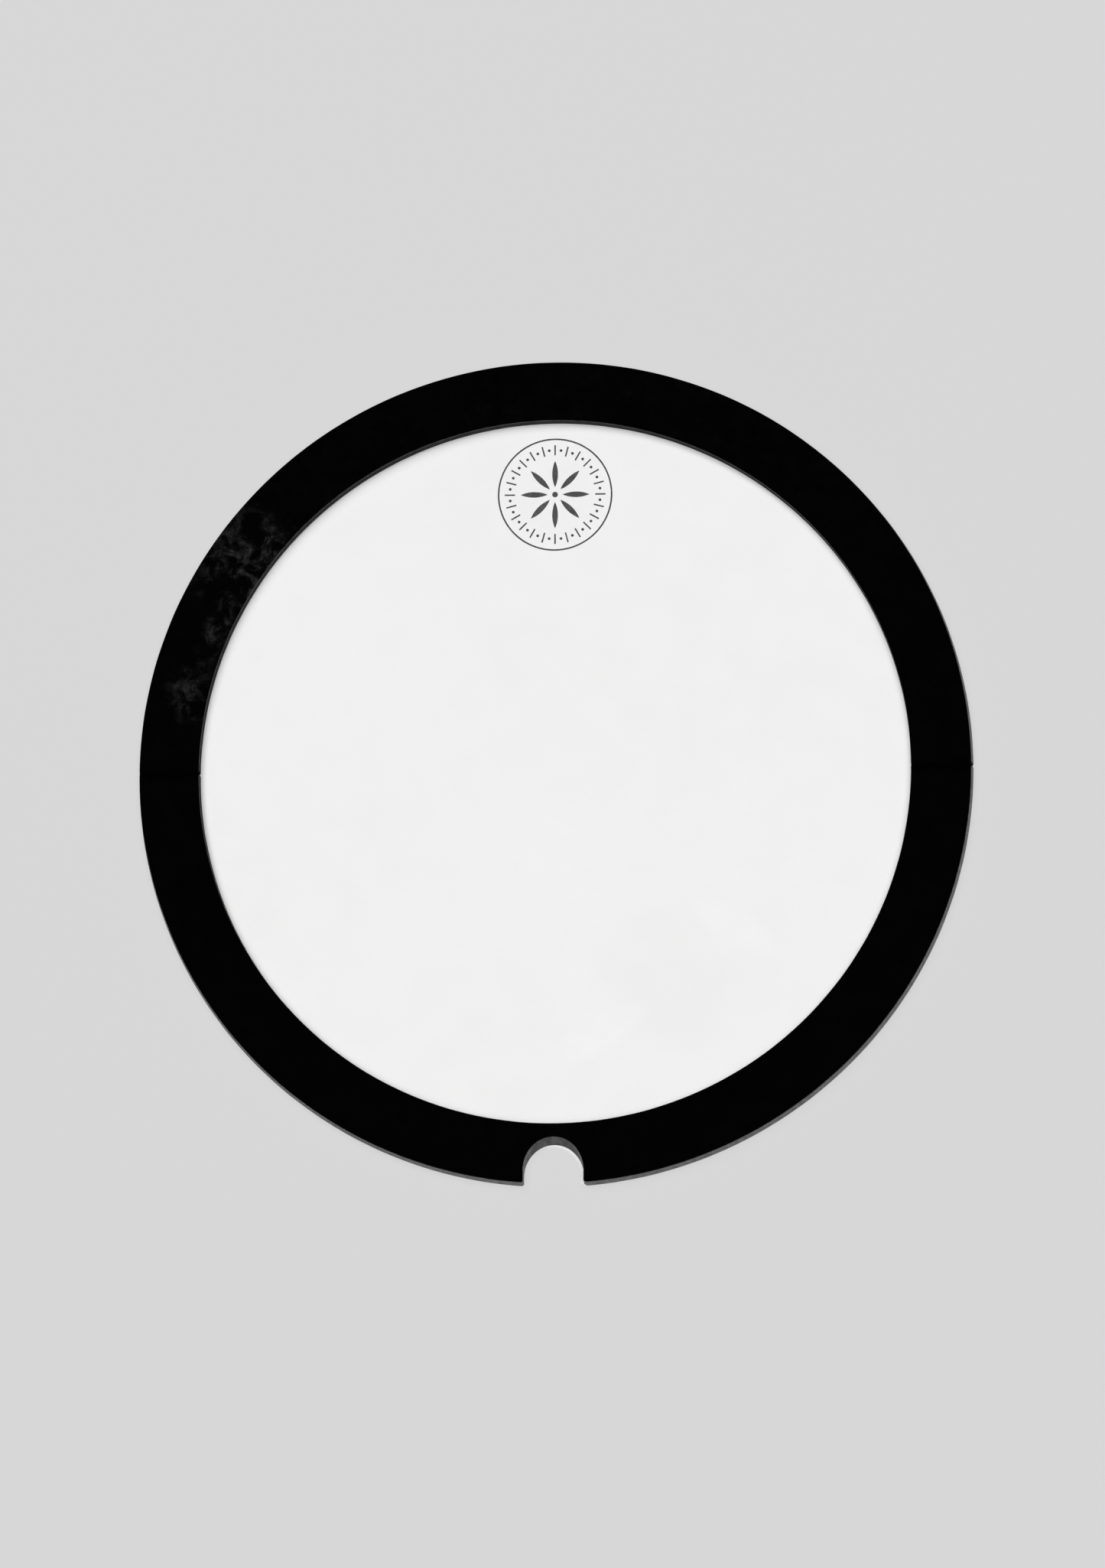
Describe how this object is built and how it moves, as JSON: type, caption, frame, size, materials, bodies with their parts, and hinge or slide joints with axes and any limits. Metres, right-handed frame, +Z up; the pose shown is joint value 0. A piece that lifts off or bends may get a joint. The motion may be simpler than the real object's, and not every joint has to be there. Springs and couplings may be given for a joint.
{
  "type": "drop-on snare drum overlay",
  "caption": "Flat drop-on drum muffling overlay: a rubber ring bonded on a white film disc, with a finger notch at the rim.",
  "frame": {"origin": "centre of the ring, on the underside of the film", "axes": "+Z up through the film and the rubber ring, -Y towards the finger notch, +Y towards the printed ornament"},
  "size_m": [0.3556, 0.3551, 0.0068],
  "materials": {
    "black_rubber": "matte",
    "white_film": "satin",
    "adhesive": "glossy",
    "ink": "matte"
  },
  "bodies": {
    "root": {"upper_ring_half": "black_rubber", "lower_ring_half": "black_rubber", "upper_bond": "adhesive", "lower_bond": "adhesive", "drumhead_film": "white_film", "printed_badge": "ink"}
  },
  "joints": []
}
